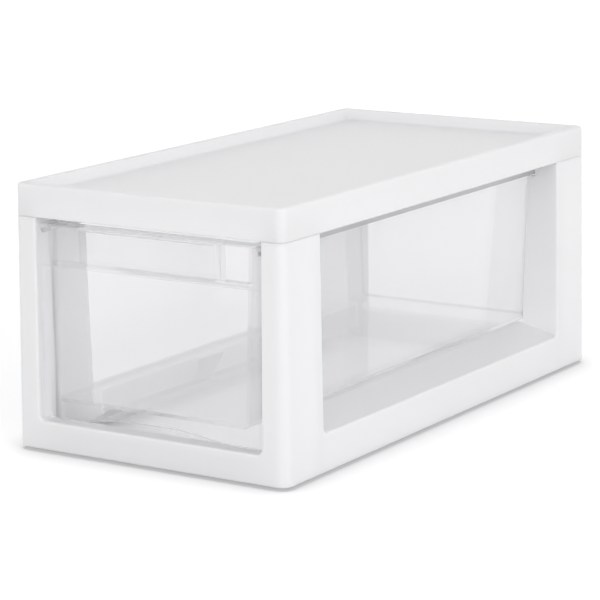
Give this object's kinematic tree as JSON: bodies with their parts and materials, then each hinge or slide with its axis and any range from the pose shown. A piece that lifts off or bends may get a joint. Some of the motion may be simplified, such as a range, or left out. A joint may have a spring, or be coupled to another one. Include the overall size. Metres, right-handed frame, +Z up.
{
  "type": "stackable drawer box",
  "caption": "Stackable desktop drawer box: an open-sided white base moulding with a snap-fit recessed cover and a clear drawer that slides out to the front.",
  "frame": {"origin": "centre of the bounding box at the bottom, on the surface that the foot ridge stands on", "axes": "+X to the right seen from the front, +Y to the back, so the drawer opens towards -Y, +Z up"},
  "size_m": [0.1872, 0.3672, 0.158],
  "materials": {
    "white_plastic": "satin moulded polypropylene",
    "clear_plastic": "clear, smooth, slightly grey-violet"
  },
  "bodies": {
    "frame": {"base_frame": "white_plastic", "top_cover": "white_plastic"},
    "drawer": {"drawer": "clear_plastic"}
  },
  "joints": [
    {"name": "drawer_slide", "type": "slide", "parent": "frame", "child": "drawer", "axis": [0, -1, 0], "range_m": [0, 0.258]}
  ]
}
